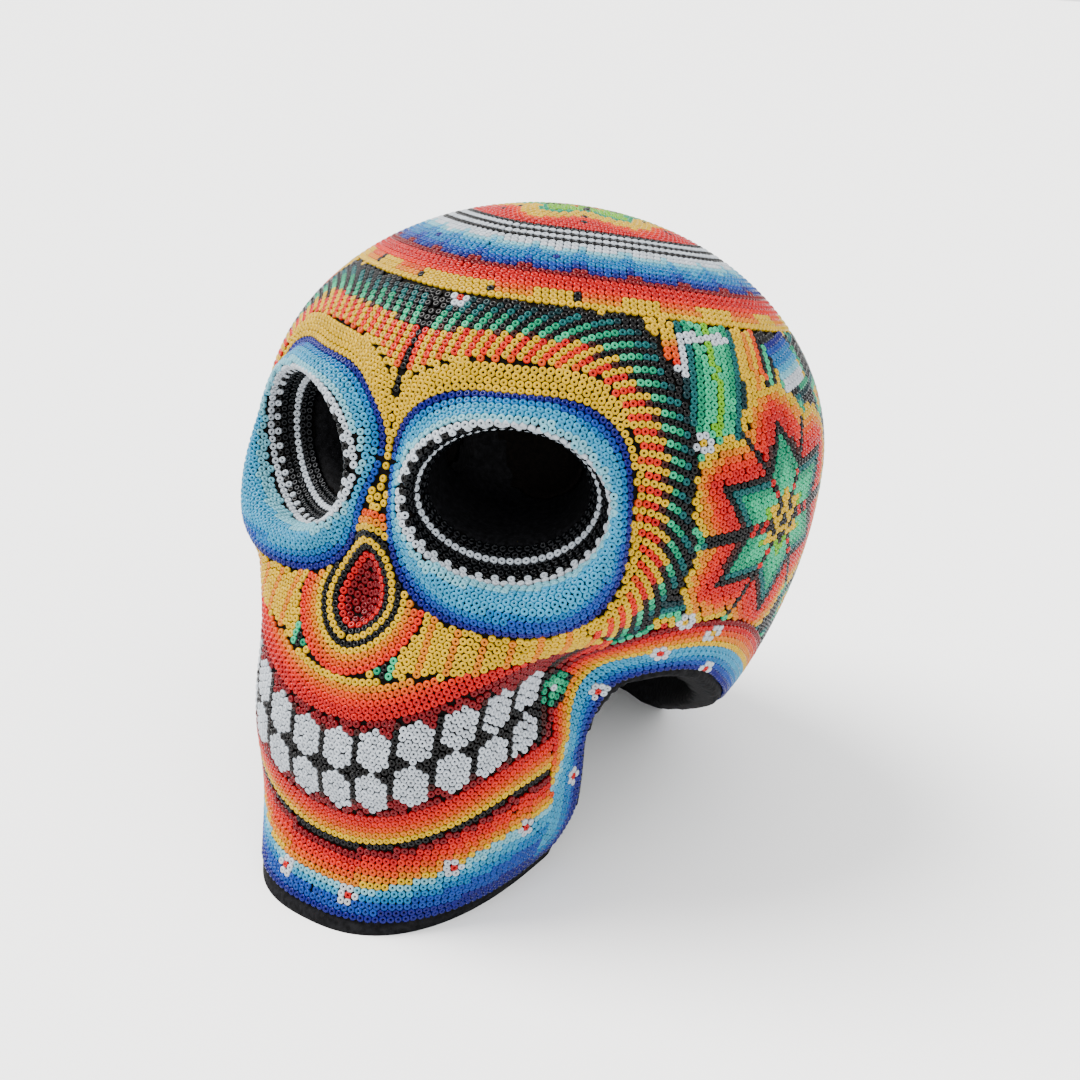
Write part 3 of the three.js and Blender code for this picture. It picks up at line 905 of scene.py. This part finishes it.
def tooth_node(height, row, colour):
    if colour != "white" or row >= TEETH * TOOTH_COLUMNS:
        return "tooth_outlines"
    jaw = "upper" if height > 0 else "lower"
    return f"{jaw}_tooth_SIDE_{row // TOOTH_COLUMNS + 1}"


def base_node(y, f):
    if y > TEMPLE_BACK:
        return "back_blue_border"
    if f["edge"] < 6 * ROW:
        return "jaw_blue_border" if y < JAW_BACK_Y else "SIDE_arch_border"
    return "chin_band" if y < JAW_BACK_Y else "SIDE_arch_border"


# ---- materials
# Each colour of bead: sRGB hex, roughness and metallic share.
PALETTE = {
    "navy": ("0a0f86", 0.2, 0),
    "royal": ("0a4cb4", 0.2, 0),
    "blue": ("1082c8", 0.2, 0),
    "sky": ("3cb0e0", 0.25, 0),
    "pale": ("8cdcf0", 0.3, 0),
    "white": ("eaf3fd", 0.3, 0),
    "mint": ("30d69a", 0.25, 0),
    "green": ("00a878", 0.2, 0),
    "teal": ("006a6a", 0.2, 0),
    "deep": ("06363c", 0.2, 0.2),
    "lime": ("82d21e", 0.25, 0),
    "yellow": ("ffcc00", 0.25, 0),
    "amber": ("ff9000", 0.25, 0),
    "orange": ("ff5400", 0.25, 0),
    "scarlet": ("ff2200", 0.25, 0),
    "red": ("e4000c", 0.2, 0),
    "crimson": ("8c0012", 0.2, 0),
    "brown": ("481410", 0.2, 0.1),
    "black": ("060608", 0.15, 0),
    "smoke": ("16181c", 0.15, 0.6),
}
GLASS_DEPTH = 0.39  # the glass is darker than its palette colour, for a bright stage
LOTS = (0.88, 0.96, 1.04)  # each colour comes in slightly different lots


def linear(code):
    """An sRGB hex colour as linear red, green and blue."""
    parts = [int(code[i : i + 2], 16) / 255 for i in (0, 2, 4)]
    return [p / 12.92 if p <= 0.04045 else ((p + 0.055) / 1.055) ** 2.4 for p in parts]


def new_object(name, data):
    thing = bpy.data.objects.new(name, data)
    bpy.context.collection.objects.link(thing)
    return thing


def new_material(name):
    material = bpy.data.materials.new(name)
    material.use_nodes = True
    return material, material.node_tree.nodes["Principled BSDF"]


def fill_in(node, values):
    """Sets constants on a node's own sockets."""
    for name, value in values.items():
        node.inputs[name].default_value = value


def bead_material(name, lot):
    code, roughness, metallic = PALETTE[name]
    material, shader = new_material(f"glass_bead_{name}_{lot}")
    colour = [part * LOTS[lot] * GLASS_DEPTH for part in linear(code)]
    fill_in(shader, {"Base Color": (*colour, 1), "Roughness": roughness, "Metallic": metallic})
    fill_in(shader, {"IOR": 1.36, "Specular IOR Level": 0.18})
    fill_in(shader, {"Coat Weight": 0.08, "Coat Roughness": 0.06})
    return material


def rough_material(name, dark, light, roughness, grain, bump):
    """A matt coating whose colour and height vary with noise."""
    material, shader = new_material(name)
    tree = material.node_tree
    place = tree.nodes.new("ShaderNodeTexCoord")
    noise = tree.nodes.new("ShaderNodeTexNoise")
    fill_in(noise, {"Scale": grain, "Detail": 6})
    tree.links.new(place.outputs["Object"], noise.inputs["Vector"])
    tint = tree.nodes.new("ShaderNodeValToRGB")
    for stop, position, code in zip(tint.color_ramp.elements, (0.35, 0.7), (dark, light)):
        stop.position = position
        stop.color = (*linear(code), 1)
    tree.links.new(noise.outputs["Fac"], tint.inputs["Fac"])
    tree.links.new(tint.outputs["Color"], shader.inputs["Base Color"])
    height = tree.nodes.new("ShaderNodeBump")
    fill_in(height, {"Strength": bump, "Distance": 0.0006})
    tree.links.new(noise.outputs["Fac"], height.inputs["Height"])
    tree.links.new(height.outputs["Normal"], shader.inputs["Normal"])
    fill_in(shader, {"Roughness": roughness, "Specular IOR Level": 0.05})
    return material


MATERIALS = {(name, lot): bead_material(name, lot) for name in PALETTE for lot in range(len(LOTS))}
WAX = rough_material("dark_wax", "040303", "0d0907", 0.8, 900, 0.3)
PAINT = rough_material("black_paint", "050506", "141416", 0.7, 700, 0.6)


# ---- making the pieces
SEGMENTS = 10
MOST_BEADS = 1600  # in one piece
# A bead's cross-section, from the hole outwards and back: distance from its axis, and height.
UPPER_PROFILE = [(HOLE_RADIUS, 0.35), (CREST_RADIUS, 1), (BEAD_RADIUS, 0.6)]
PROFILE = np.array(UPPER_PROFILE + [(reach, -height) for reach, height in reversed(UPPER_PROFILE)])
PROFILE[:, 1] *= BEAD_HALF_HEIGHT


def ring_faces():
    """The quads of one bead, as numbers of its vertices."""
    around = np.arange(SEGMENTS)
    ahead = (around + 1) % SEGMENTS
    faces = []
    for step in range(len(PROFILE)):
        after = (step + 1) % len(PROFILE)
        near, far = step * SEGMENTS, after * SEGMENTS
        faces.append(np.stack([near + around, far + around, far + ahead, near + ahead], -1))
    return np.concatenate(faces)


def ring_vertices(points, normals):
    """The vertices of beads at points, their holes along normals, each a little off size and tilt."""
    total = len(points)
    axis = normals + RNG.normal(0, 0.06, (total, 3))
    axis /= np.linalg.norm(axis, axis=1, keepdims=True)
    level = np.cross(axis, np.where(np.abs(axis[:, 2:]) < 0.8, (0, 0, 1), (1, 0, 0)))
    level /= np.linalg.norm(level, axis=1, keepdims=True)
    upright = np.cross(axis, level)
    turn = RNG.uniform(0, 2 * math.pi, (total, 1)) + np.arange(SEGMENTS) * 2 * math.pi / SEGMENTS
    spoke = np.cos(turn)[..., None] * level[:, None] + np.sin(turn)[..., None] * upright[:, None]
    size = RNG.uniform(0.95, 1.03, (total, 1, 1, 1))
    reach = PROFILE[:, 0][None, :, None, None] * spoke[:, None]
    height = PROFILE[:, 1][None, :, None, None] * axis[:, None, None]
    middle = points - normals * SINK
    return (middle[:, None, None] + size * (reach + height)).reshape(-1, 3)


def new_piece(name, vertices, faces, node):
    mesh = bpy.data.meshes.new(name)
    mesh.vertices.add(len(vertices))
    mesh.vertices.foreach_set("co", to_frame(vertices).astype(np.float32).ravel())
    corners = faces.shape[1]
    mesh.loops.add(faces.size)
    mesh.loops.foreach_set("vertex_index", faces.astype(np.int32).ravel())
    mesh.polygons.add(len(faces))
    mesh.polygons.foreach_set("loop_start", np.arange(0, faces.size, corners, dtype=np.int32))
    mesh.update(calc_edges=True)
    mesh.shade_smooth()
    piece = new_object(name, mesh)
    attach(piece, "root")
    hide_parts(node)
    return piece


def bead_piece(name, node, points, normals, colours):
    vertices = ring_vertices(points, normals)
    one = ring_faces()
    starts = np.arange(len(points)) * SEGMENTS * len(PROFILE)
    faces = (one[None] + starts[:, None, None]).reshape(-1, 4)
    piece = new_piece(name, vertices, faces, node)
    lots = RNG.integers(0, len(LOTS), len(points))
    keys = list(zip(colours.tolist(), lots.tolist()))
    used = sorted(set(keys))
    for key in used:
        piece.data.materials.append(MATERIALS[key])
    number = np.array([used.index(key) for key in keys], np.int32)
    piece.data.polygons.foreach_set("material_index", np.repeat(number, len(one)))


def lay_all():
    mesh = Skin()
    fields = mesh.measure()
    table = np.stack([fields[name] for name in NAMES], -1)
    corner_regions = region_of(mesh.points, fields)
    beads = Beads()
    for region in reversed(range(len(REGIONS))):
        lay_region(beads, mesh, table, corner_regions, region)
    fill_gaps(beads, mesh, table)
    return beads


def paint_all(beads):
    points = np.array(beads.points)
    fields = by_name(np.array(beads.values))
    region, row, place = np.array(beads.marks).T
    colours = np.full(len(points), "black", "U8")
    for number, (_, _, paint) in enumerate(REGIONS.values()):
        here = region == number
        some = {key: values[here] for key, values in fields.items()}
        colours[here] = paint(points[here], some, row[here], place[here])
    return points, fields, region, row, colours


def mirrored(points, normals, nodes, colours):
    """The same beads on both sides. Those on the mirror plane stay single."""
    off = points[:, 0] > 0
    over = np.array([-1, 1, 1])
    points, normals = (np.concatenate([part, part[off] * over]) for part in (points, normals))
    left = [name.replace("SIDE", "left") for name in nodes]
    right = [name.replace("SIDE", "right") for name, there in zip(nodes, off) if there]
    return points, normals, np.array(left + right), np.concatenate([colours, colours[off]])


def build_beads():
    points, fields, region, row, colours = paint_all(lay_all())
    names = []
    for i, point in enumerate(points):
        here = {key: values[i] for key, values in fields.items()}
        names.append(node_of(point, here, region[i], row[i], colours[i]))
    points, normals = settle(skin, points)
    points, normals, nodes, colours = mirrored(points, normals, names, colours)
    plant_all(points, colours)
    for node in sorted(set(nodes)):
        mine = np.flatnonzero(nodes == node)
        parts = math.ceil(len(mine) / MOST_BEADS)
        mine = mine[np.argsort(points[mine][:, 2], kind="stable")]
        for part, some in enumerate(np.array_split(mine, parts)):
            bead_piece(f"{node}_beads_{part + 1}", node, points[some], normals[some], colours[some])


# ---- wax and blank
def wax_cover(x, y, z):
    """Positive where the wax is spread, seen from the side and into the sockets."""
    x = np.abs(x)
    side, up, out = eye_frame(x, y, z)
    near_eye = (np.hypot(side, up) < 26) & (y < FACE_Y)
    edge = np.minimum(z - RIM_HEIGHT, arch(y, z) - ARCH_EDGE) + 0.6
    return np.where(near_eye, np.minimum(edge, out + LIP_DEPTH), edge)


def wax_piece(step=2.4):
    """A thin closed layer under the beads."""
    vertices, quads = surface_nets(skin, (-88, -100, -step), (88, 100, 180), step)
    points, normals = settle(skin, vertices)
    inside = wax_cover(*points.T) > 0
    quads = quads[inside[quads].all(1)]
    used, faces = np.unique(quads, return_inverse=True)
    faces = faces.reshape(-1, 4)
    points, normals = points[used], normals[used]
    total = len(points)
    top = points - normals * WAX_DEPTH
    bottom = points - normals * (WAX_DEPTH + WAX_THICKNESS)
    edges = np.concatenate([faces[:, [i, (i + 1) % 4]] for i in range(4)])
    keys = edges[:, 0].astype(np.int64) * total + edges[:, 1]
    back = edges[:, 1].astype(np.int64) * total + edges[:, 0]
    rim = edges[~np.isin(keys, back)]
    wall = np.stack([rim[:, 1], rim[:, 0], rim[:, 0] + total, rim[:, 1] + total], -1)
    everything = np.concatenate([faces, faces[:, ::-1] + total, wall])
    piece = new_piece("wax_layer", np.concatenate([top, bottom]), everything, "wax_bed")
    piece.data.materials.append(WAX)


def blank_piece(step=2.0):
    """The cast skull under the wax, bare along its lower edge and inside the sockets, cut flat at z = 0."""
    low, high = (-88, -101, -2.5 * step), (88, 101, 180)
    vertices, quads = surface_nets(blank_walls, low, high, step)
    piece = new_piece("skull_casting", vertices, quads, "skull_blank")
    cut = bmesh.new()
    cut.from_mesh(piece.data)
    everything = cut.verts[:] + cut.edges[:] + cut.faces[:]
    bmesh.ops.bisect_plane(cut, geom=everything, plane_co=(0, 0, 0), plane_no=(0, 0, 1), clear_inner=True)
    rim = [edge for edge in cut.edges if edge.is_boundary]
    foot = bmesh.ops.edgeloop_fill(cut, edges=rim)["faces"]
    bmesh.ops.triangulate(cut, faces=foot)
    bmesh.ops.recalc_face_normals(cut, faces=cut.faces[:])
    cut.to_mesh(piece.data)
    cut.free()
    piece.data.materials.append(PAINT)


# ---- stage, light and camera
def build_floor(reach=6.0):
    mesh = bpy.data.meshes.new("floor")
    corners = [(-reach, -reach, 0), (reach, -reach, 0), (reach, reach, 0), (-reach, reach, 0)]
    mesh.from_pydata(corners, [], [(0, 1, 2, 3)])
    material, shader = new_material("pale_floor")
    fill_in(shader, {"Base Color": (0.93, 0.93, 0.93, 1), "Roughness": 0.9, "Specular IOR Level": 0.1})
    mesh.materials.append(material)
    new_object("floor", mesh)


def new_light(name, kind, power, colour, towards, place=(0, 0, 0)):
    light = bpy.data.lights.new(name, kind)
    light.energy = power
    light.color = colour
    lamp = new_object(name, light)
    lamp.location = place
    lamp.rotation_euler = towards.to_track_quat("-Z", "Y").to_euler()
    return light


def build_lights():
    """A white room, a wide soft sun from the figure's front right, and a weak lamp at its front left."""
    world = bpy.data.worlds.new("studio")
    world.use_nodes = True
    fill_in(world.node_tree.nodes["Background"], {"Color": (1, 1, 1, 1), "Strength": 2.1})
    bpy.context.scene.world = world
    sun = new_light("window", "SUN", 7.5, (1, 0.98, 0.95), Vector((0.8, 0.3, -1.25)))
    sun.angle = math.radians(36)
    place = Vector((0.9, -0.7, 0.7))
    fill = new_light("fill", "AREA", 6, (0.93, 0.97, 1), Vector((0, 0, 0.09)) - place, place)
    fill.size = 0.8


CAMERA_ANGLES = (33.96, 24.11, 2.39)  # turn, rise and roll, in degrees
CAMERA_DISTANCE = 445.93
CAMERA_TARGET = np.array([-8.54, 4.5, 70.70])
CAMERA_LENS = 48.39
CAMERA_SHIFT = (0.0396, 0.0160)


def build_camera():
    lens = bpy.data.cameras.new("camera")
    lens.lens = CAMERA_LENS
    lens.shift_x, lens.shift_y = CAMERA_SHIFT
    camera = new_object("camera", lens)
    turn, rise, roll = (math.radians(angle) for angle in CAMERA_ANGLES)
    back = np.array([math.sin(turn) * math.cos(rise), -math.cos(turn) * math.cos(rise), math.sin(rise)])
    right = np.array([math.cos(turn), math.sin(turn), 0])
    above = np.cross(back, right)
    right, above = (
        right * math.cos(roll) + above * math.sin(roll),
        above * math.cos(roll) - right * math.sin(roll),
    )
    place = to_frame(CAMERA_TARGET + back * CAMERA_DISTANCE)
    pose = Matrix((right, above, back)).transposed().to_4x4()
    pose.translation = Vector(place)
    camera.matrix_world = pose
    bpy.context.scene.camera = camera


build_beads()
wax_piece()
blank_piece()
build_floor()
build_lights()
build_camera()
